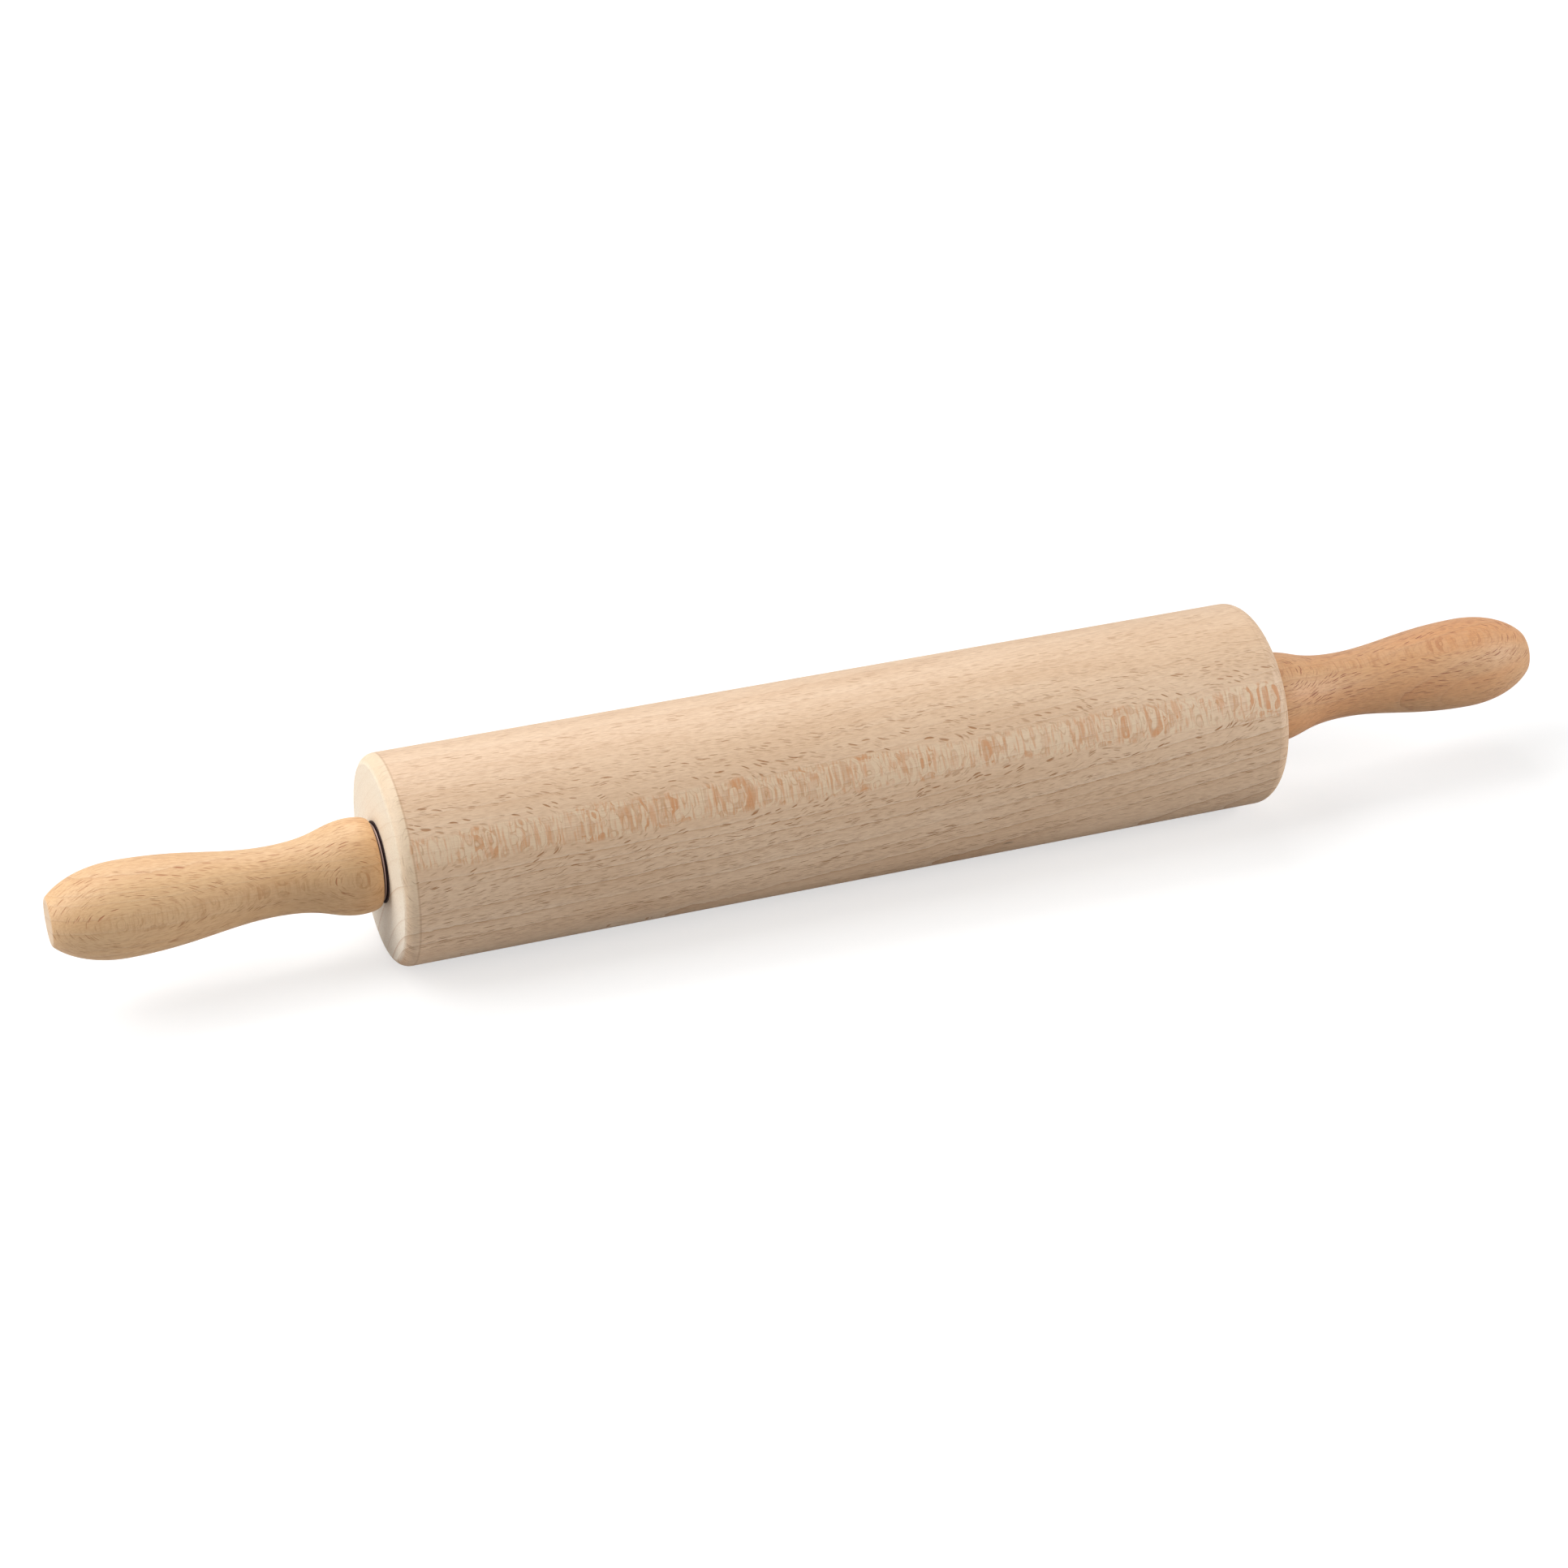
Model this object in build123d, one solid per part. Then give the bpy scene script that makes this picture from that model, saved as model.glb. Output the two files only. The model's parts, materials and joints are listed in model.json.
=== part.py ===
from build123d import *
import math
import os

# A rolling pin: a beech roller that turns on two ball bearings about a steel rod,
# with a turned beech handle glued on each end of the rod.
# Lengths are in millimetres. The pin lies along X with its middle at X = 0, +Z is up,
# and the roller rests on Z = 0.

# Roller
roller_diameter = 60.0
roller_length = 265.0
edge_round_length = 3.8
edge_round_depth = 2.6
rod_way_clearance = 1.0

# Handle, with its places along the axis as shares of its length
handle_length = 90.0
mouth_radius = 11.8
collar_radius = 13.5
neck_radius = 9.75
swell_radius = 13.4
tip_radius = 6.6
tip_round = 1.2
collar_place_share = 0.06
shoulder_place_share = 0.19
shoulder_rise_share = 0.33
neck_place_share = 0.32
swell_place_share = 0.78

# Rod, and the ribbed tenon at each end that the handle is glued on
rod_diameter = 8.0
rod_shoulder_height = 0.75
tenon_length = 55.0
tenon_chamfer = 0.8
rib_count = 6
rib_groove_width = 1.5
rib_groove_depth = 0.3
glue_gap = 0.05
glue_pocket = 2.0

# Ball bearing
ball_diameter = 3.175
ball_count = 8
ball_clearance = 0.02
race_wall = 1.14
race_chamfer = 0.3
groove_depth_share = 0.11
groove_radius_share = 0.52
cage_thickness = 1.3
cage_back = 0.4
cage_crown_share = 0.45
cage_end_room = 0.55
pocket_clearance = 0.06
shield_thickness = 0.25
shield_inset = 0.15
shield_seat_depth = 0.45
shield_gap = 0.15
press_clearance = 0.01

# Flanged sleeve that holds the bearing in the roller
sleeve_wall = 0.8
sleeve_lip_thickness = 0.6
sleeve_lip_reach = 0.8
sleeve_flange_reach = 1.25
sleeve_flange_thickness = 0.35

# Spring ring in its groove on the rod, outside the bearing
ring_thickness = 0.8
ring_width = 1.5
ring_opening = 1.2
ring_lug_radius = 1.3
ring_lug_rise = 1.4
ring_hole_radius = 0.6
ring_groove_depth = 0.2
ring_groove_play = 0.1
ring_cover = 1.2

# Washers between the roller and the handle
running_gap = 0.25
steel_washer_radius = 10.9
steel_washer_thickness = 0.35
nylon_washer_radius = 10.6
nylon_washer_thickness = 0.5
washer_clearance = 0.05

# Roller and rod, worked out
roller_radius = roller_diameter / 2
roller_half = roller_length / 2
rod_radius = rod_diameter / 2
tenon_radius = rod_radius - rod_shoulder_height
shoulder_reach = sleeve_flange_thickness + running_gap
handle_gap = shoulder_reach + steel_washer_thickness + nylon_washer_thickness
tenon_end = handle_gap + tenon_length

# Bearing, worked out from the rod outwards
ball_radius = ball_diameter / 2
race_bore_radius = rod_radius + press_clearance
inner_groove_floor = race_bore_radius + race_wall
pitch_radius = inner_groove_floor + ball_clearance + ball_radius
outer_groove_floor = pitch_radius + ball_radius + ball_clearance
bearing_radius = outer_groove_floor + race_wall
groove_depth = groove_depth_share * ball_diameter
groove_radius = groove_radius_share * ball_diameter
groove_half_width = math.sqrt(groove_radius**2 - (groove_radius - groove_depth) ** 2)
inner_land_radius = inner_groove_floor + groove_depth
outer_land_radius = outer_groove_floor - groove_depth
shield_seat_radius = outer_land_radius + shield_seat_depth
shield_band = shield_thickness + shield_inset
pocket_radius = ball_radius + pocket_clearance
bearing_half_width = pocket_radius + cage_back + cage_end_room + shield_band

# Places along the axis, counted outwards from the roller's end face
bearing_face = -(ring_thickness + ring_cover)
bearing_middle = bearing_face - bearing_half_width
bearing_back = bearing_middle - bearing_half_width
sleeve_back = bearing_back - sleeve_lip_thickness
sleeve_radius = bearing_radius + press_clearance + sleeve_wall


def turned(*outline):
    """A solid turned about X: in the outline X is the place along the axis and Y is the radius."""
    edges = [edge for line in outline for edge in line.edges()]
    return revolve(Plane.XZ * make_face(edges), Axis.X)


def turned_corners(*corners):
    """A turned solid with a straight-sided outline."""
    return turned(Polyline(*corners, close=True))


def disc(inner_radius, outer_radius, start, thickness):
    """A flat washer that starts at a place along X."""
    end = start + thickness
    return turned_corners(
        (start, inner_radius),
        (end, inner_radius),
        (end, outer_radius),
        (start, outer_radius),
    )


# Roller: both ends have the same rounded edge and the same seat for a bearing sleeve
def roller_end(side):
    """The outline of one end, from the rolling surface down to the way for the rod."""
    face = side * roller_half
    round_start = (side * (roller_half - edge_round_length), roller_radius)
    round_end = (face, roller_radius - edge_round_depth)
    seat_radius = sleeve_radius + press_clearance
    seat_floor = side * (roller_half + sleeve_back)
    return [
        TangentArc(round_start, round_end, tangent=(side, 0)),
        Polyline(
            round_end,
            (face, seat_radius),
            (seat_floor, seat_radius),
            (seat_floor, rod_radius + rod_way_clearance),
        ),
    ]


def make_roller():
    surface_half = roller_half - edge_round_length
    floor_half = roller_half + sleeve_back
    way_radius = rod_radius + rod_way_clearance
    return turned(
        Line((-surface_half, roller_radius), (surface_half, roller_radius)),
        Line((-floor_half, way_radius), (floor_half, way_radius)),
        *roller_end(-1),
        *roller_end(1),
    )


# Rod: a groove for each spring ring, a shoulder for each washer and a ribbed tenon at each end
def rod_end_corners():
    """Corners of the right half of the rod, from its middle stretch out to the axis."""
    groove_start = roller_half + bearing_face
    groove_end = groove_start + ring_thickness + ring_groove_play
    groove_floor = rod_radius - ring_groove_depth
    shoulder = roller_half + shoulder_reach
    corners = [
        (groove_start, rod_radius),
        (groove_start, groove_floor),
        (groove_end, groove_floor),
        (groove_end, rod_radius),
        (shoulder, rod_radius),
        (shoulder, tenon_radius),
    ]
    rib_pitch = tenon_length / (rib_count + 1)
    rib_floor = tenon_radius - rib_groove_depth
    for rib in range(rib_count):
        start = roller_half + handle_gap + (rib + 1) * rib_pitch - rib_groove_width / 2
        corners += [
            (start, tenon_radius),
            (start + rib_groove_width, rib_floor),
            (start + rib_groove_width, tenon_radius),
        ]
    end = roller_half + tenon_end
    corners += [
        (end - tenon_chamfer, tenon_radius),
        (end, tenon_radius - tenon_chamfer),
        (end, 0),
    ]
    return corners


def make_rod():
    right = rod_end_corners()
    left = [(-place, radius) for place, radius in reversed(right)]
    return turned_corners(*left, *right)


# Handle: collar, neck, swelling grip and a dome cut off by the flat tip
def make_handle():
    collar_place = collar_place_share * handle_length
    swell_place = swell_place_share * handle_length
    shoulder_radius = neck_radius + shoulder_rise_share * (collar_radius - neck_radius)
    collar = EllipticalCenterArc(
        (collar_place, mouth_radius),
        collar_place,
        collar_radius - mouth_radius,
        start_angle=90,
        arc_size=90,
    )
    grip = Spline(
        (collar_place, collar_radius),
        (shoulder_place_share * handle_length, shoulder_radius),
        (neck_place_share * handle_length, neck_radius),
        (swell_place, swell_radius),
        tangents=[(1, 0), (1, 0)],
    )
    dome_angle = math.degrees(math.asin(tip_radius / swell_radius))
    dome_length = (handle_length - swell_place) / math.cos(math.radians(dome_angle))
    dome = EllipticalCenterArc(
        (swell_place, 0),
        dome_length,
        swell_radius,
        start_angle=dome_angle,
        arc_size=90 - dome_angle,
    )
    bore_radius = tenon_radius + glue_gap
    bore_end = tenon_length + glue_pocket
    inside = Polyline(
        (handle_length, tip_radius),
        (handle_length, 0),
        (bore_end, 0),
        (bore_end, bore_radius),
        (0, bore_radius),
        (0, mouth_radius),
    )
    handle = turned(collar, grip, dome, inside)
    tip_edge = handle.edges().filter_by(GeomType.CIRCLE).group_by(Axis.X)[-1]
    return Pos(handle_gap, 0, 0) * fillet(tip_edge, tip_round)


# Ball bearing, about its own middle
def make_inner_race():
    half = bearing_half_width
    return turned(
        ThreePointArc(
            (-groove_half_width, inner_land_radius),
            (0, inner_groove_floor),
            (groove_half_width, inner_land_radius),
        ),
        Polyline(
            (groove_half_width, inner_land_radius),
            (half, inner_land_radius),
            (half, race_bore_radius + race_chamfer),
            (half - race_chamfer, race_bore_radius),
            (race_chamfer - half, race_bore_radius),
            (-half, race_bore_radius + race_chamfer),
            (-half, inner_land_radius),
            (-groove_half_width, inner_land_radius),
        ),
    )


def make_outer_race():
    half = bearing_half_width
    seat = half - shield_band
    return turned(
        ThreePointArc(
            (-groove_half_width, outer_land_radius),
            (0, outer_groove_floor),
            (groove_half_width, outer_land_radius),
        ),
        Polyline(
            (groove_half_width, outer_land_radius),
            (seat, outer_land_radius),
            (seat, shield_seat_radius),
            (half, shield_seat_radius),
            (half, bearing_radius - race_chamfer),
            (half - race_chamfer, bearing_radius),
            (race_chamfer - half, bearing_radius),
            (-half, bearing_radius - race_chamfer),
            (-half, shield_seat_radius),
            (-seat, shield_seat_radius),
            (-seat, outer_land_radius),
            (-groove_half_width, outer_land_radius),
        ),
    )


def make_balls():
    """The balls as one group of separate solids, evenly spaced round the axis."""
    ball = Pos(0, 0, pitch_radius) * Sphere(ball_radius)
    turn = 360 / ball_count
    return Part() + [Rot(turn * place, 0, 0) * ball for place in range(ball_count)]


def make_cage():
    """A crown cage: a closed back ring with open pockets that snap over the balls."""
    back = pocket_radius + cage_back
    crown = cage_crown_share * ball_radius
    inner_radius = pitch_radius - cage_thickness / 2
    cage = disc(inner_radius, inner_radius + cage_thickness, -back, back + crown)
    pocket = Pos(0, 0, pitch_radius) * Sphere(pocket_radius)
    turn = 360 / ball_count
    return cage - [Rot(turn * place, 0, 0) * pocket for place in range(ball_count)]


def make_shield(side):
    """The thin steel shield pressed in one side of the outer race."""
    seat = bearing_half_width - shield_band
    start = seat if side > 0 else -(seat + shield_thickness)
    inner_radius = inner_land_radius + shield_gap
    return disc(inner_radius, shield_seat_radius - press_clearance, start, shield_thickness)


# Sleeve: a thin cup with a lip behind the bearing and a flange on the roller's end face
def make_sleeve():
    seat_radius = bearing_radius + press_clearance
    lip_radius = seat_radius - sleeve_lip_reach
    flange_radius = sleeve_radius + sleeve_flange_reach
    return turned_corners(
        (sleeve_back, lip_radius),
        (sleeve_back, sleeve_radius),
        (0, sleeve_radius),
        (0, flange_radius),
        (sleeve_flange_thickness, flange_radius),
        (sleeve_flange_thickness, seat_radius),
        (bearing_back, seat_radius),
        (bearing_back, lip_radius),
    )


# Spring ring: an open ring with a lug and a tool hole each side of its opening
def make_retaining_ring():
    inner_radius = rod_radius - ring_groove_depth + press_clearance
    outer_radius = inner_radius + ring_width
    lug_offset = ring_opening / 2 + ring_lug_radius
    lug_height = inner_radius + ring_lug_rise
    lugs = Locations((-lug_offset, lug_height), (lug_offset, lug_height))
    flat = Circle(outer_radius)
    flat += lugs * Circle(ring_lug_radius)
    opening = Rectangle(ring_opening, outer_radius, align=(Align.CENTER, Align.MIN))
    flat -= [Circle(inner_radius), opening]
    flat -= lugs * Circle(ring_hole_radius)
    return Pos(bearing_face, 0, 0) * extrude(Plane.YZ * flat, ring_thickness)


def make_washer(radius, start, thickness):
    return disc(tenon_radius + washer_clearance, radius, start, thickness)


def end_pieces():
    """The pieces of one end, with X = 0 on the roller's end face and +X outwards."""
    in_bearing = Pos(bearing_middle, 0, 0)
    washers_start = shoulder_reach + steel_washer_thickness
    return {
        "handle": make_handle(),
        "nylon_washer": make_washer(nylon_washer_radius, washers_start, nylon_washer_thickness),
        "steel_washer": make_washer(steel_washer_radius, shoulder_reach, steel_washer_thickness),
        "bearing_sleeve": make_sleeve(),
        "retaining_ring": make_retaining_ring(),
        "outer_race": in_bearing * make_outer_race(),
        "inner_race": in_bearing * make_inner_race(),
        "ball_cage": in_bearing * make_cage(),
        "balls": in_bearing * make_balls(),
        "outer_shield": in_bearing * make_shield(1),
        "inner_shield": in_bearing * make_shield(-1),
    }


# The left end is the right end turned half a turn about Z
pieces = {"roller": make_roller(), "axle_rod": make_rod()}
for end_name, half_turn in (("left", 180), ("right", 0)):
    at_end = Rot(0, 0, half_turn) * Pos(roller_half, 0, 0)
    for piece_name, piece in end_pieces().items():
        pieces[f"{end_name}_{piece_name}"] = at_end * piece

os.makedirs("parts", exist_ok=True)
for node_name, piece in pieces.items():
    placed = Pos(0, 0, roller_radius) * piece
    placed.label = node_name
    export_step(placed, f"parts/{node_name}.step")
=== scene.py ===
import json
import math

import bmesh
import bpy
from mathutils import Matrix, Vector


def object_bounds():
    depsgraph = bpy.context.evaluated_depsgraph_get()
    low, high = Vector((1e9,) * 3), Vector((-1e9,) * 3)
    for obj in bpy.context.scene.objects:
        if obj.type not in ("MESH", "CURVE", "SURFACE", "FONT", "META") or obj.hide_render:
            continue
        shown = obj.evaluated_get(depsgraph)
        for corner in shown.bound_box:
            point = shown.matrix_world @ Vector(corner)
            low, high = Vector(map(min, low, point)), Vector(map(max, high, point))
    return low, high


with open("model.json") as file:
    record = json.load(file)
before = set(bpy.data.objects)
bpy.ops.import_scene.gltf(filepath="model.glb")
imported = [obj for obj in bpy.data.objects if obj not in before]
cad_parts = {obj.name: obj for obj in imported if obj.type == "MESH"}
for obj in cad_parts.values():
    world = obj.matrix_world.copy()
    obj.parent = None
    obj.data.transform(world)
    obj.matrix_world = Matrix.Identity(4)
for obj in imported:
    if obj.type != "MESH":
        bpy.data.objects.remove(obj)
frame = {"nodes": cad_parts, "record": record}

cad_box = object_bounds()

# Sizes are in metres, unless a name says MM or the heading above it does
MM = 0.001
AXIS_HEIGHT = (cad_box[0].z + cad_box[1].z) / 2
WHITE = (1, 1, 1, 1)

# The camera stands left of the pin's middle and looks down on its front
CAMERA_PLACE = (-0.3291, -0.8782, 0.5748)
CAMERA_TURN = math.radians(20.085)
CAMERA_TILT = math.radians(30.279)
CAMERA_LENS_MM = 86.954
CAMERA_SHIFT = (-0.0117, 0.0020)

# Each lamp has its place and its power in watts, and points at the pin's middle
LAMP_SIZE = 0.7
LAMPS = {
    "key_light": ((-0.60, 0.10, 0.95), 5.5),
    "side_light": ((-1.0, 0.10, 0.50), 5.3),
    "back_light": ((0, 0.60, 0.90), 5.0),
    "fill_light": ((1.0, -0.60, 0.50), 9.2),
}
SOFT_LIGHT = 0.02

# The paper under the pin glows for the camera only, and more so far from the pin
PAPER_SIZE = 6.0
PAPER_COLOUR = (0.60, 0.60, 0.60, 1)
PAPER_ROUGHNESS = 0.9
PAPER_SHADOW_COLOUR = (0.50, 0.50, 0.50, 1)
PAPER_GLOW = 0.62
PAPER_FAR_GLOW = 0.42
PAPER_FAR = (0.25, 0.8)

# How the beech grew, in millimetres: a size is a length along the grain, then widths across it
RING_WIDTH = 3.3
RING_RISE = -0.045
RING_BEND = -0.00022
RING_WAVE = 1.0
SHEET_DIVE = -0.06
SHEET_WAVE = 1.7
WAVE_SIZE = (13.0, 30.0)
FACING_WAVE = 0.02
CLOUD_SIZE = (60.0, 9.0)
FIBRE_SIZE = (1 / 0.42, 1 / 2.6)

# How the rings vary and darken: sizes in millimetres, shifts in years, darkening as a power
RING_UNEVEN_WIDTH = 9.0
RING_UNEVENNESS = 2.2
RING_WOBBLE_SIZE = (3.0, 1.4)
RING_WOBBLE = 0.16
RING_BREAK_SIZE = (7.0, 1.5)
RING_BREAK_LAYER = 7.0
RING_BREAKS = (0.15, 0.50)
RING_STRENGTH_SIZE = (90.0, 4.5)
RING_STRENGTH_LAYER = 3.0
RING_STRENGTHS = (0.25, 0.55)
SLOW_DARKENING = 5.0
SHARP_DARKENING = 24.0
SHARP_DARKENING_SHARE = 0.6
PALE_START = 10.0

# Rings and flecks grow stronger over these distances towards the pith, in millimetres
RING_STRENGTH_RISE = (132.0, 106.0)
OUTER_RING_STRENGTH = 0.3
FLECK_STRENGTH_RISE = (146.0, 116.0)
OUTER_FLECK_STRENGTH = 0.5

# Flecks, with the sizes of the cells that hold them in millimetres and the rest in shares
FLECK_CELL = (5.2, 6.0, 0.36)
EDGE_FLECK_CELL = (4.4, 4.5, 0.17)
FINE_FLECK_CELL = (4.0, 5.0, 0.16)
FINE_FLECK_SHARE = 0.5
FLECK_SMALLEST = 0.26
FLECK_GROWTH = 0.16
FLECK_CORE = 0.6
FLECK_STRENGTHS = (0.10, 0.9)

# The ladder, with the sizes of its cells in millimetres and the rest in shares
LADDER_CELL = (3.4, 20.0, 0.40)
LADDER_GRAIN_SIZE = (0.7, 6.0, 0.5)
LADDER_SQUARENESS = 3.0
LADDER_STEP = 0.24
NEAR_LADDER = (0.70, 0.88)
SHADE_SEEDS = (91.0, 57.0)
RUNG_SEEDS = (83.0, 71.0)
RUNG_EDGE = (0.36, 0.47)
RUNG_STRENGTHS = (0.2, 0.8)

# Layers of colour: where each one starts and is full, and its share of the tone
CLOUD_RANGE = (0.3, 0.7)
END_GRAIN_RANGE = (0.75, 0.98)
END_GRAIN_SHARE = 0.95
RING_START_SHARE = 0.25
FIBRE_RANGE = (0.34, 0.72)
FIBRE_SHARE = 0.24
PALE_RANGE = (0.70, 0.45)
PALE_SHARE = 0.5
BROWN_RANGE = (0.60, 0.95)
BROWN_GRAIN_RANGE = (0.30, 0.60)
BROWN_GRAIN_SHARE = 0.5
BROWN_SHARE = 0.44
ORANGE_RANGE = (0.88, 0.96)
ORANGE_GRAIN_RANGE = (0.2, 0.6)
ORANGE_SHARE = 0.75
GRAIN_RANGE = (0.46, 0.70)
GRAIN_SHARE = 0.55
RUNG_SHARE = 0.5

# The sanded surface
FIBRE_HEIGHT = 0.5
FLECK_DEPTH = 0.9
RING_DEPTH = 0.3
SANDED_RELIEF = 0.6
SANDED_DEPTH = 0.20 * MM
SANDED_ROUGHNESS = 0.42
SANDED_UNEVENNESS = 0.2
BEECH_IOR = 1.55

# The boards, in millimetres, and the facing at which each one's ladder starts and is full
ROLLER_RADIUS = 30.0
ROLLER_PITH_DISTANCE = 116.0
ROLLER_LADDER_EDGE = (0.984, 0.993)
HANDLE_RADIUS = 13.0
HANDLE_PITH_DISTANCE = 60.0
HANDLE_LADDER_EDGE = (0.960, 0.985)

ROLLER_TONES = {
    "light": (0.85, 0.62, 0.425, 1),
    "dark": (0.79, 0.555, 0.365, 1),
    "fleck": (0.40, 0.185, 0.07, 1),
    "pale": (0.83, 0.66, 0.46, 1),
    "orange": (0.68, 0.31, 0.13, 1),
    "rung": (0.52, 0.27, 0.12, 1),
    "end": (0.95, 0.88, 0.76, 1),
}
LEFT_HANDLE_TONES = {
    "light": (0.85, 0.56, 0.30, 1),
    "dark": (0.81, 0.51, 0.26, 1),
    "fleck": (0.46, 0.16, 0.055, 1),
    "pale": (0.82, 0.55, 0.30, 1),
    "orange": (0.62, 0.30, 0.13, 1),
    "rung": (0.45, 0.20, 0.08, 1),
    "end": (0.80, 0.60, 0.40, 1),
}
RIGHT_HANDLE_TONES = {
    "light": (0.72, 0.42, 0.21, 1),
    "dark": (0.74, 0.375, 0.17, 1),
    "fleck": (0.32, 0.09, 0.035, 1),
    "pale": (0.70, 0.42, 0.24, 1),
    "orange": (0.52, 0.22, 0.10, 1),
    "rung": (0.34, 0.12, 0.05, 1),
    "end": (0.66, 0.45, 0.28, 1),
}

# Marks on the roller, in millimetres, and how much of each shows
LEFT_HALF = (10.0, -10.0)
ROUNDING_START = 128.7
# Painted light: the left rounding is painted pale cream and paler towards the top, as if lit from
# the upper left, over the rounding's own paler tint
PAINTED_LIGHT_START = (-0.2, 0.5)
PAINTED_LIGHT_HEIGHT = (0.0, 1.8)
PAINTED_LIGHT_COLOUR = (0.95, 0.80, 0.58, 1)
PAINTED_LIGHT_SHARE = 0.45
TURNED_LINE_EDGE = (0.40, 0.12)
TURNED_LINE_COLOUR = (0.42, 0.22, 0.10, 1)
TURNED_LINE_SHARE = 0.10
TURNED_LINE_MORE_ON_LEFT = 0.22
DARK_STREAK_PLACE = (46.0, -24.9, 13.2)
DARK_STREAK_REACH = (2.2, 0.6, 0.6)
DARK_STREAK_EDGE = (1.0, 0.4)
DARK_STREAK_COLOUR = (0.13, 0.08, 0.05, 1)
DARK_STREAK_SHARE = 0.6

# Turned metal and moulded nylon
TOOL_MARK_WIDTH = 0.11 * MM
TOOL_MARK_RELIEF = 0.3
NYLON_CLOUDS_PER_METRE = 900.0
NYLON_RELIEF = 0.2
NYLON_ROUGHNESS = 0.4
FAINT_DEPTH = 0.02 * MM
FAINT_UNEVENNESS = 0.2


class Signal:
    """A number that a material works out at each point, written as a sum."""

    def __init__(self, nodes, socket):
        self.nodes = nodes
        self.socket = socket

    def _step(self, operation, *others):
        return self.nodes.math(operation, self, *others)

    def __add__(self, other):
        return self._step("ADD", other)

    def __sub__(self, other):
        return self._step("SUBTRACT", other)

    def __mul__(self, other):
        return self._step("MULTIPLY", other)

    def __truediv__(self, other):
        return self._step("DIVIDE", other)

    def __pow__(self, other):
        return self._step("POWER", other)

    def __abs__(self):
        return self._step("ABSOLUTE")

    def fraction(self):
        return self._step("FRACT")

    def whole(self):
        return self._step("FLOOR")

    def inverse(self):
        """1 where this is 0, and 0 where it is 1."""
        return self.nodes.math("SUBTRACT", 1.0, self)

    def ramp(self, low, high):
        """A smooth change from 0 at low to 1 at high, which may be the smaller."""
        changes = {"Value": self, "From Min": low, "From Max": high}
        return self.nodes.node("MapRange", changes, interpolation_type="SMOOTHSTEP")["Result"]


class Nodes:
    """The nodes of a material or of the world, with short calls that add and join them."""

    def __init__(self, tree):
        self.tree = tree

    def put(self, socket, value):
        """Joins a socket to a signal, or sets its own value."""
        if isinstance(value, Signal):
            self.tree.links.new(value.socket, socket)
        else:
            socket.default_value = value

    def node(self, kind, inputs, **settings):
        """Adds a node and gives its outputs as signals, by name."""
        made = self.tree.nodes.new("ShaderNode" + kind)
        for name, value in settings.items():
            setattr(made, name, value)
        for name, value in inputs.items():
            self.put(made.inputs[name], value)
        return {socket.name: Signal(self, socket) for socket in made.outputs if socket.enabled}

    def math(self, operation, *values):
        """One step of arithmetic on signals and plain numbers."""
        return self.node("Math", dict(enumerate(values)), operation=operation)["Value"]

    def point(self, x, y, z):
        return self.node("CombineXYZ", {"X": x, "Y": y, "Z": z})["Vector"]

    def split(self, vector):
        parts = self.node("SeparateXYZ", {"Vector": vector})
        return parts["X"], parts["Y"], parts["Z"]

    def noise(self, point, detail=2.0, scale=1.0):
        """Smooth noise, as a number and as a colour of three."""
        return self.node("TexNoise", {"Vector": point, "Scale": scale, "Detail": detail})

    def chance(self, point):
        """A random number that is the same wherever the point is."""
        return self.node("TexWhiteNoise", {"Vector": point})["Value"]

    def cells(self, point, squareness=2.0):
        """Scattered cells: the distance to the middle of the nearest, and its random colour.
        The lines of equal distance are round at a squareness of 2, and near squares from 5."""
        inputs = {"Vector": point, "Scale": 1.0, "Exponent": squareness}
        return self.node("TexVoronoi", inputs, distance="MINKOWSKI")

    def blend(self, share, under, over):
        """One colour laid over another by a share."""
        mix = self.tree.nodes.new("ShaderNodeMix")
        mix.data_type = "RGBA"
        sockets = {socket.identifier: socket for socket in (*mix.inputs, *mix.outputs)}
        self.put(sockets["Factor_Float"], share)
        self.put(sockets["A_Color"], under)
        self.put(sockets["B_Color"], over)
        return Signal(self, sockets["Result_Color"])


class Finish(Nodes):
    """A material, with its surface."""

    def __init__(self, name):
        self.material = bpy.data.materials.new(name)
        self.material.use_nodes = True
        super().__init__(self.material.node_tree)
        self.surface = self.tree.nodes["Principled BSDF"]

    def surfaced(self, height, strength, depth, **sockets):
        """Sets the surface's sockets and its relief, and gives the material."""
        relief = self.node("Bump", {"Strength": strength, "Distance": depth, "Height": height})
        sockets["Normal"] = relief["Normal"]
        for name, value in sockets.items():
            self.put(self.surface.inputs[name.replace("_", " ")], value)
        return self.material


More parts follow.
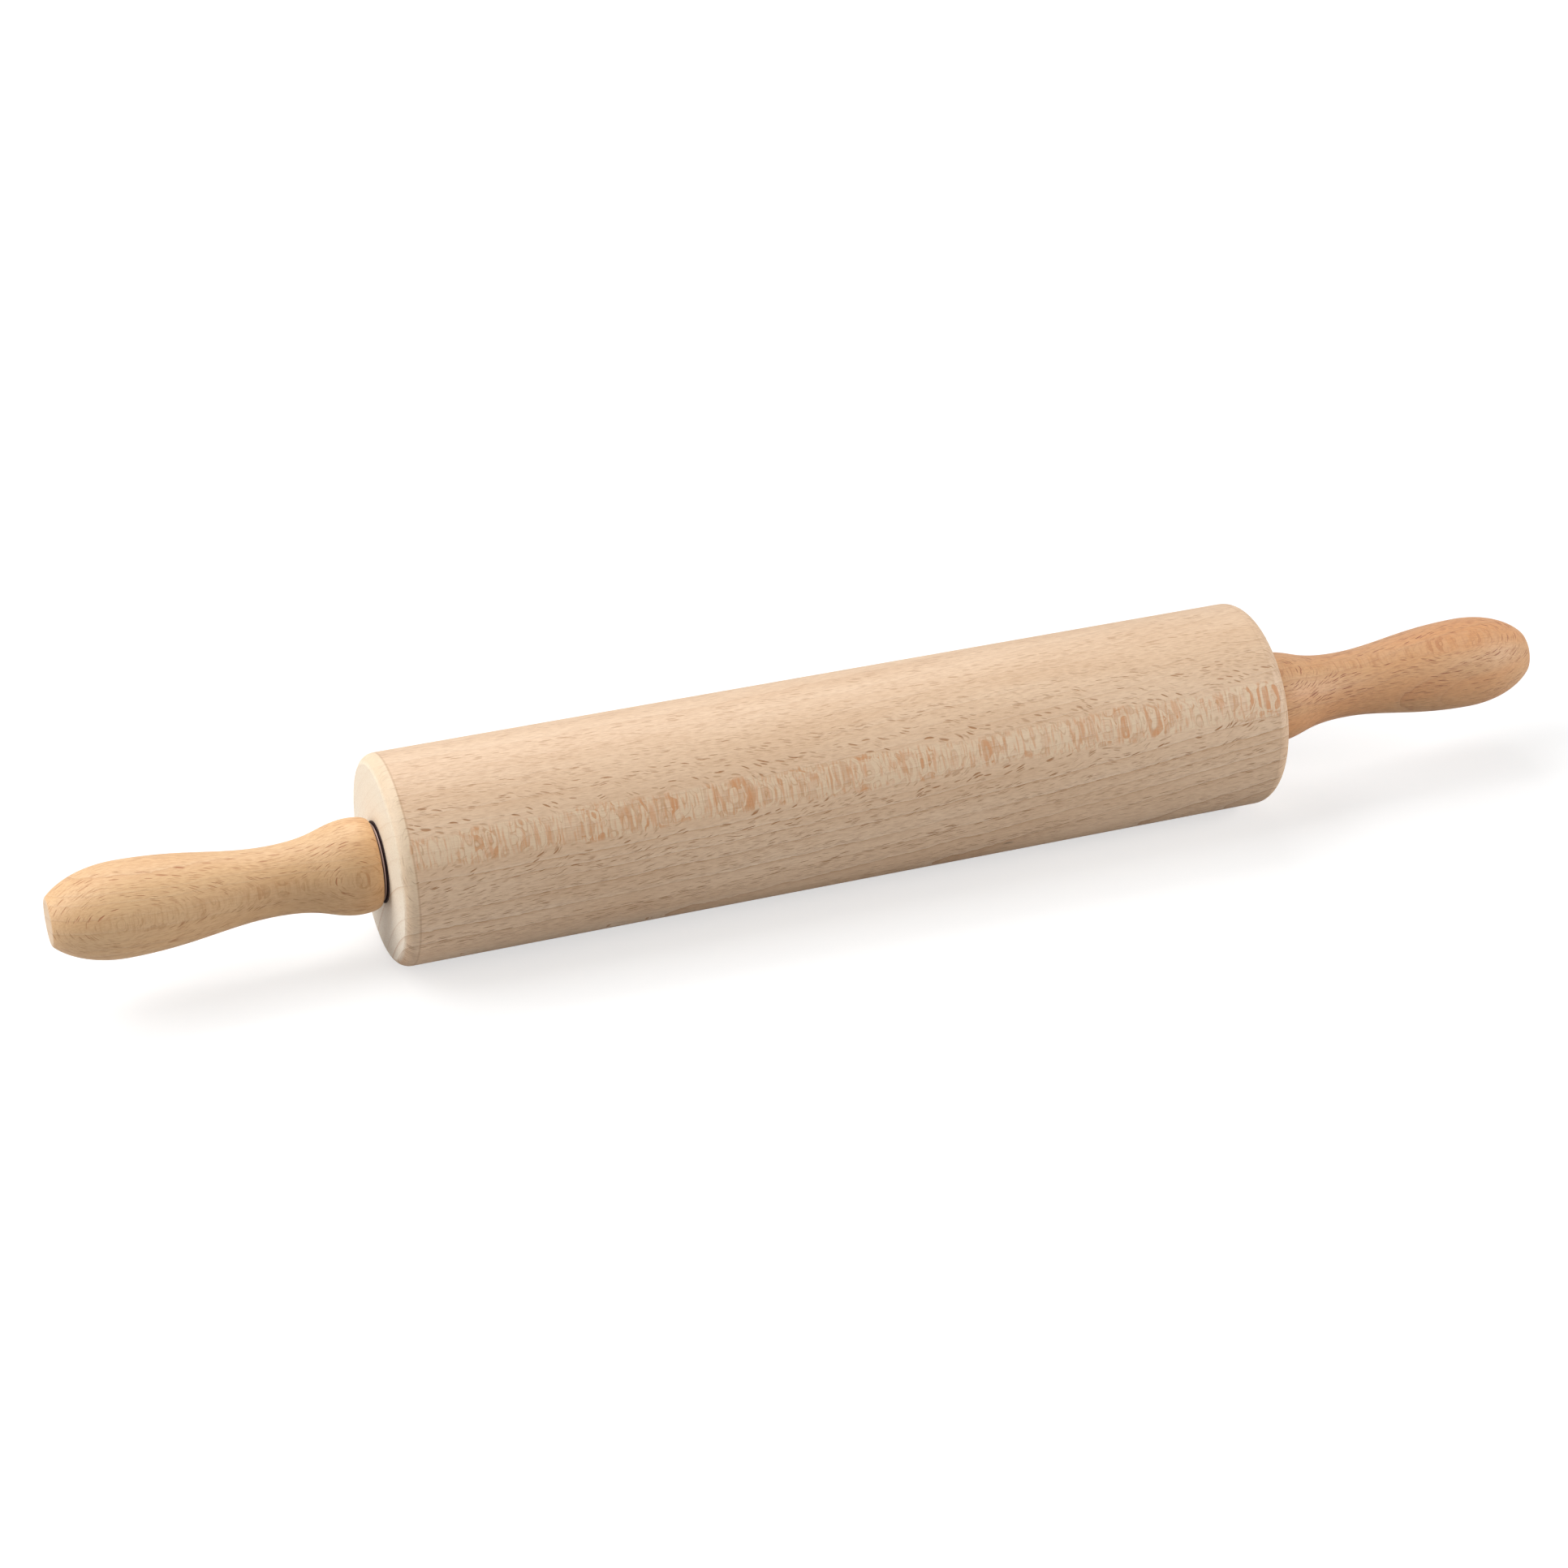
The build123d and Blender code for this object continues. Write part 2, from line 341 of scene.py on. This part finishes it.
class Beech(Finish):
    """Solid beech. Its rays lie in sheets that fan out from the pith. Where the cut runs along
    them they show as a ladder, and where it crosses them they show as short flecks."""

    def __init__(self, name, ladder_angle, radius, pith_distance):
        super().__init__(name)
        coordinates = self.node("TexCoord", {})
        self.place = coordinates["Object"]
        self.normal = coordinates["Normal"]
        in_log = self.node(
            "Mapping",
            {
                "Vector": self.place,
                "Location": (0, 0, AXIS_HEIGHT),
                "Rotation": (ladder_angle, 0, 0),
                "Scale": (MM, MM, MM),
            },
            vector_type="TEXTURE",
        )["Vector"]
        self.along, self.out, self.across = self.split(in_log)
        wave = self.noise(self.log_place(*WAVE_SIZE), detail=1.0)["Color"]
        sheet_wave, ring_wave, _ = self.split(wave)
        ring_wave = ring_wave - 0.5
        depth = self.out + pith_distance
        beside = self.across - radius
        self.from_pith = (depth * depth + beside * beside) ** 0.5
        around = self.math("ARCTAN2", beside, depth) * pith_distance
        self.sheet = around + self.along * SHEET_DIVE + (sheet_wave - 0.5) * SHEET_WAVE
        self.ring = (
            self.from_pith
            + self.along * RING_RISE
            + self.along * self.along * RING_BEND
            + ring_wave * RING_WAVE
        )
        sine = math.sin(ladder_angle)
        cosine = math.cos(ladder_angle)
        leans_out = self.facing_towards((0, cosine, sine))
        leans_across = self.facing_towards((0, -sine, cosine))
        across_sheets = (leans_across * depth - leans_out * beside) / self.from_pith
        self.facing = abs(across_sheets) + ring_wave * FACING_WAVE
        self.end_grain = abs(self.facing_towards((1, 0, 0))).ramp(*END_GRAIN_RANGE)

    def facing_towards(self, way):
        """How squarely the surface faces this way: 1 when it does, and -1 when it faces back."""
        inputs = {0: self.normal, 1: way}
        return self.node("VectorMath", inputs, operation="DOT_PRODUCT")["Value"]

    def log_place(self, length, width):
        """The place in the log, counted in patches of this length and width."""
        return self.point(self.along / length, self.out / width, self.across / width)

    def ray_place(self, cell):
        """The place along the grain, out through the rings and round through the sheets,
        counted in cells."""
        length, depth, thickness = cell
        return self.point(self.along / length, self.ring / depth, self.sheet / thickness)

    def ring_noise(self, size, detail, layer=0.0):
        """Noise that is drawn out along the grain and changes from ring to ring."""
        length, depth = size
        spot = self.point(self.along / length, self.ring / depth, layer)
        return self.noise(spot, detail=detail)["Fac"]

    def rings(self):
        """Growth rings: each year darkens towards its end, and the next begins pale."""
        uneven = self.noise(self.point(0.0, self.ring / RING_UNEVEN_WIDTH, 0.0), detail=1.0)["Fac"]
        wobble = self.ring_noise(RING_WOBBLE_SIZE, detail=2.0)
        year = self.ring / RING_WIDTH + uneven * RING_UNEVENNESS + wobble * RING_WOBBLE
        year = year.fraction()
        broken = self.ring_noise(RING_BREAK_SIZE, detail=2.0, layer=RING_BREAK_LAYER)
        strong = self.ring_noise(RING_STRENGTH_SIZE, detail=0.0, layer=RING_STRENGTH_LAYER)
        inner = self.from_pith.ramp(*RING_STRENGTH_RISE)
        inner = inner * (1 - OUTER_RING_STRENGTH) + OUTER_RING_STRENGTH
        strong = strong.ramp(*RING_STRENGTHS) * inner
        slow = year**SLOW_DARKENING * (1 - SHARP_DARKENING_SHARE)
        dark = slow + year**SHARP_DARKENING * SHARP_DARKENING_SHARE
        return dark * broken.ramp(*RING_BREAKS) * strong, year.inverse() ** PALE_START * strong

    def flecks(self, cell):
        """Rays cut across: thin pointed flecks along the grain, most of them faint."""
        found = self.cells(self.ray_place(cell))
        pick_size, pick_strength, _ = self.split(found["Color"])
        size = pick_size * FLECK_GROWTH + FLECK_SMALLEST
        shape = found["Distance"].ramp(size, size * FLECK_CORE)
        return shape * pick_strength.ramp(*FLECK_STRENGTHS)

    def ladder(self):
        """Rays cut lengthwise: each cell's shells have random shades, thin rungs part them, and
        a fine grain crosses them."""
        found = self.cells(self.ray_place(LADDER_CELL), LADDER_SQUARENESS)
        pick_one, pick_two, _ = self.split(found["Color"])
        shell = found["Distance"] / LADDER_STEP + pick_one
        number = shell.whole()
        first_seed, second_seed = SHADE_SEEDS
        shade = self.chance(self.point(pick_one * first_seed, pick_two * second_seed, number))
        first_seed, second_seed = RUNG_SEEDS
        strong = self.chance(self.point(pick_two * first_seed, pick_one * second_seed, number))
        rung = abs(shell.fraction() - 0.5).ramp(*RUNG_EDGE) * strong.ramp(*RUNG_STRENGTHS)
        grain = self.noise(self.ray_place(LADDER_GRAIN_SIZE), detail=1.0)["Fac"]
        return shade, rung, grain

    def fibre(self):
        """The fine streaks of the vessels."""
        return self.noise(self.log_place(*FIBRE_SIZE), detail=3.0)["Fac"]

    def cloud(self):
        """Slow changes of tone along the board."""
        return self.noise(self.log_place(*CLOUD_SIZE), detail=2.0)["Fac"]


def beech(name, angle, radius, pith_distance, ladder_edge, tones, shares, marks=None):
    """Sanded beech in this piece's own tones. The angle turns the ladder round the piece, and
    the shares say how strongly the ladder, the rings and the flecks show."""
    wood = Beech(name, math.radians(angle), radius, pith_distance)
    along_cut = wood.end_grain.inverse()
    on_ladder = wood.facing.ramp(*ladder_edge)
    near_ladder = wood.facing.ramp(*NEAR_LADDER)
    far = wood.flecks(FLECK_CELL) * near_ladder.inverse()
    near = wood.flecks(EDGE_FLECK_CELL) * near_ladder
    fine = wood.flecks(FINE_FLECK_CELL) * FINE_FLECK_SHARE
    inner = wood.from_pith.ramp(*FLECK_STRENGTH_RISE)
    inner = inner * (1 - OUTER_FLECK_STRENGTH) + OUTER_FLECK_STRENGTH
    flecks = (far + near + fine) * on_ladder.inverse() * along_cut * inner
    on_ladder = on_ladder * along_cut * shares["ladder"]
    ring_end, ring_start = wood.rings()
    fibre = wood.fibre()

    shade, rung, grain = wood.ladder()
    grained = grain.ramp(*BROWN_GRAIN_RANGE) * BROWN_GRAIN_SHARE + (1 - BROWN_GRAIN_SHARE)
    brown = shade.ramp(*BROWN_RANGE) * grained
    orange = shade.ramp(*ORANGE_RANGE) * grain.ramp(*ORANGE_GRAIN_RANGE)
    layers = (
        (wood.end_grain * END_GRAIN_SHARE, "end"),
        (ring_start * RING_START_SHARE, "end"),
        (ring_end * shares["ring"], "rung"),
        (fibre.ramp(*FIBRE_RANGE) * FIBRE_SHARE, "fleck"),
        (flecks * shares["fleck"], "fleck"),
        (shade.ramp(*PALE_RANGE) * on_ladder * PALE_SHARE, "pale"),
        (brown * on_ladder * BROWN_SHARE, "rung"),
        (orange * on_ladder * ORANGE_SHARE, "orange"),
        (grain.ramp(*GRAIN_RANGE) * on_ladder * GRAIN_SHARE, "orange"),
        (rung * on_ladder * RUNG_SHARE, "rung"),
    )
    colour = wood.blend(wood.cloud().ramp(*CLOUD_RANGE), tones["light"], tones["dark"])
    for share, tone in layers:
        colour = wood.blend(share, colour, tones[tone])
    if marks:
        colour = marks(wood, colour)

    return wood.surfaced(
        fibre * FIBRE_HEIGHT - flecks * FLECK_DEPTH - ring_end * RING_DEPTH,
        SANDED_RELIEF,
        SANDED_DEPTH,
        Base_Color=colour,
        Roughness=fibre * SANDED_UNEVENNESS + SANDED_ROUGHNESS,
        IOR=BEECH_IOR,
    )


def roller_marks(wood, colour):
    """The fine line where each end's rounding starts, stronger on the left, painted light on the
    left rounding, which fades downwards, and one dark streak low on the front."""
    place = [value / MM for value in wood.split(wood.place)]
    on_left = place[0].ramp(*LEFT_HALF)
    from_line = abs(wood.along) - ROUNDING_START
    upwards = (place[2] / (AXIS_HEIGHT / MM)).ramp(*PAINTED_LIGHT_HEIGHT)
    # Painted light: pale on the left rounding only, fading downwards
    painted_light = from_line.ramp(*PAINTED_LIGHT_START) * on_left * upwards
    colour = wood.blend(painted_light * PAINTED_LIGHT_SHARE, colour, PAINTED_LIGHT_COLOUR)
    line_share = on_left * TURNED_LINE_MORE_ON_LEFT + TURNED_LINE_SHARE
    line = abs(from_line).ramp(*TURNED_LINE_EDGE) * line_share
    colour = wood.blend(line, colour, TURNED_LINE_COLOUR)
    aside, ahead, above = (
        (value - middle) / reach
        for value, middle, reach in zip(place, DARK_STREAK_PLACE, DARK_STREAK_REACH)
    )
    far = (aside * aside + ahead * ahead + above * above) ** 0.5
    streak = far.ramp(*DARK_STREAK_EDGE) * DARK_STREAK_SHARE
    return wood.blend(streak, colour, DARK_STREAK_COLOUR)


def turned_metal(name, colour, roughness, metallic=1.0):
    """Metal with faint rings from the tool round the pin's axis."""
    steel = Finish(name)
    x, y, z = steel.split(steel.node("TexCoord", {})["Object"])
    height = z - AXIS_HEIGHT
    radius = (y * y + height * height) ** 0.5
    spot = steel.point(x / TOOL_MARK_WIDTH, radius / TOOL_MARK_WIDTH, 0.0)
    marks = steel.noise(spot, detail=3.0)["Fac"]
    return steel.surfaced(
        marks,
        TOOL_MARK_RELIEF,
        FAINT_DEPTH,
        Base_Color=colour,
        Metallic=metallic,
        Roughness=marks * FAINT_UNEVENNESS + (roughness - FAINT_UNEVENNESS / 2),
    )


def moulded_nylon(name, colour, worn):
    """Nylon with a faint cloudy surface."""
    nylon = Finish(name)
    place = nylon.node("TexCoord", {})["Object"]
    cloud = nylon.noise(place, scale=NYLON_CLOUDS_PER_METRE)["Fac"]
    return nylon.surfaced(
        cloud,
        NYLON_RELIEF,
        FAINT_DEPTH,
        Base_Color=nylon.blend(cloud, colour, worn),
        Roughness=cloud * FAINT_UNEVENNESS + NYLON_ROUGHNESS,
    )


def handle_beech(name, angle, tones, shares):
    """The beech of one handle, turned from a smaller board than the roller."""
    return beech(
        name, angle, HANDLE_RADIUS, HANDLE_PITH_DISTANCE, HANDLE_LADDER_EDGE, tones, shares
    )


def dress_pieces():
    """Gives each handle its own beech, and every other piece the finish of its material slot."""
    finishes = {
        "beech_roller": beech(
            "roller_beech",
            angle=59,
            radius=ROLLER_RADIUS,
            pith_distance=ROLLER_PITH_DISTANCE,
            ladder_edge=ROLLER_LADDER_EDGE,
            tones=ROLLER_TONES,
            shares={"ladder": 1.0, "ring": 0.9, "fleck": 1.0},
            marks=roller_marks,
        ),
        # Bright steel tinted pink-brown: the tint is a painted reflection of the beech beside the
        # washers
        "bright_steel": turned_metal(
            "bright_steel", colour=(0.44, 0.32, 0.29, 1), roughness=0.45
        ),
        # Blackened steel, near-black and tinted red-brown: partly painted shade, darkening the gap
        # between handle and roller
        "blackened_steel": turned_metal(
            "blackened_steel", colour=(0.03, 0.012, 0.014, 1), roughness=0.6, metallic=0.5
        ),
        "spring_steel": turned_metal(
            "spring_steel", colour=(0.20, 0.20, 0.21, 1), roughness=0.4
        ),
        "bearing_steel": turned_metal(
            "bearing_steel", colour=(0.75, 0.75, 0.76, 1), roughness=0.18
        ),
        # Black nylon, near-black and tinted red-brown: partly painted shade, darkening the gap
        # beside the handle
        "black_nylon": moulded_nylon(
            "black_nylon", colour=(0.06, 0.016, 0.008, 1), worn=(0.11, 0.035, 0.015, 1)
        ),
        "cage_nylon": moulded_nylon(
            "cage_nylon", colour=(0.60, 0.56, 0.46, 1), worn=(0.74, 0.70, 0.60, 1)
        ),
    }
    own = {
        "left_handle": handle_beech(
            "left_handle_beech",
            angle=77,
            tones=LEFT_HANDLE_TONES,
            shares={"ladder": 0.6, "ring": 0.35, "fleck": 0.8},
        ),
        "right_handle": handle_beech(
            "right_handle_beech",
            angle=28,
            tones=RIGHT_HANDLE_TONES,
            shares={"ladder": 0.5, "ring": 0.35, "fleck": 0.9},
        ),
    }
    for subpart in frame["record"]["subparts"]:
        node = subpart["node"]
        finish = own.get(node) or finishes[subpart["material_slot"]]
        for place in frame["nodes"][node].material_slots:
            place.material = finish


def add_object(name, data):
    """Adds an object to the scene and gives it back."""
    made = bpy.data.objects.new(name, data)
    bpy.context.scene.collection.objects.link(made)
    return made


def make_floor():
    """White paper that stays white to the camera but keeps the pin's shadow."""
    mesh = bpy.data.meshes.new("floor")
    sheet = bmesh.new()
    bmesh.ops.create_grid(sheet, x_segments=1, y_segments=1, size=PAPER_SIZE)
    sheet.to_mesh(mesh)
    sheet.free()
    paper = Finish("white_paper")
    paper.put(paper.surface.inputs["Base Color"], PAPER_COLOUR)
    paper.put(paper.surface.inputs["Roughness"], PAPER_ROUGHNESS)
    seen = paper.node("LightPath", {})["Is Camera Ray"]
    place = paper.node("TexCoord", {})["Object"]
    far = paper.node("VectorMath", {0: place}, operation="LENGTH")["Value"]
    strength = far.ramp(*PAPER_FAR) * PAPER_FAR_GLOW + PAPER_GLOW
    glow = paper.node("Emission", {"Strength": strength})["Emission"]
    shadowed = paper.node("BsdfDiffuse", {"Color": PAPER_SHADOW_COLOUR})["BSDF"]
    to_camera = paper.node("AddShader", {0: glow, 1: shadowed})["Shader"]
    plain = Signal(paper, paper.surface.outputs["BSDF"])
    both = paper.node("MixShader", {0: seen, 1: plain, 2: to_camera})["Shader"]
    paper.put(paper.tree.nodes["Material Output"].inputs["Surface"], both)
    mesh.materials.append(paper.material)
    add_object("floor", mesh)


def make_lamp(name, place, power):
    """A square softbox that points at the pin's middle."""
    softbox = bpy.data.lights.new(name, "AREA")
    softbox.size = LAMP_SIZE
    softbox.energy = power
    lamp = add_object(name, softbox)
    lamp.location = place
    way = Vector((0, 0, AXIS_HEIGHT)) - Vector(place)
    lamp.rotation_euler = way.to_track_quat("-Z", "Y").to_euler()


def make_world():
    """Soft light from all round, which is white where the camera or a gloss sees it."""
    world = bpy.data.worlds.new("studio")
    bpy.context.scene.world = world
    world.use_nodes = True
    studio = Nodes(world.node_tree)
    soft = studio.tree.nodes["Background"]
    studio.put(soft.inputs["Color"], WHITE)
    studio.put(soft.inputs["Strength"], SOFT_LIGHT)
    white = studio.node("Background", {"Color": WHITE})["Background"]
    rays = studio.node("LightPath", {})
    seen = rays["Is Camera Ray"]
    for ray in ("Is Glossy Ray", "Is Transmission Ray"):
        seen = studio.math("MAXIMUM", seen, rays[ray])
    plain = Signal(studio, soft.outputs["Background"])
    both = studio.node("MixShader", {0: seen, 1: plain, 2: white})["Shader"]
    studio.put(studio.tree.nodes["World Output"].inputs["Surface"], both)


def make_camera():
    """The camera at the photograph's viewing angle."""
    lens = bpy.data.cameras.new("camera")
    lens.lens = CAMERA_LENS_MM
    lens.shift_x, lens.shift_y = CAMERA_SHIFT
    camera = add_object("camera", lens)
    camera.location = CAMERA_PLACE
    camera.rotation_euler = (math.pi / 2 - CAMERA_TILT, 0, -CAMERA_TURN)
    bpy.context.scene.camera = camera


dress_pieces()
make_floor()
for lamp_name, (lamp_place, lamp_power) in LAMPS.items():
    make_lamp(lamp_name, lamp_place, lamp_power)
make_world()
make_camera()
bpy.context.scene.view_settings.view_transform = "Standard"
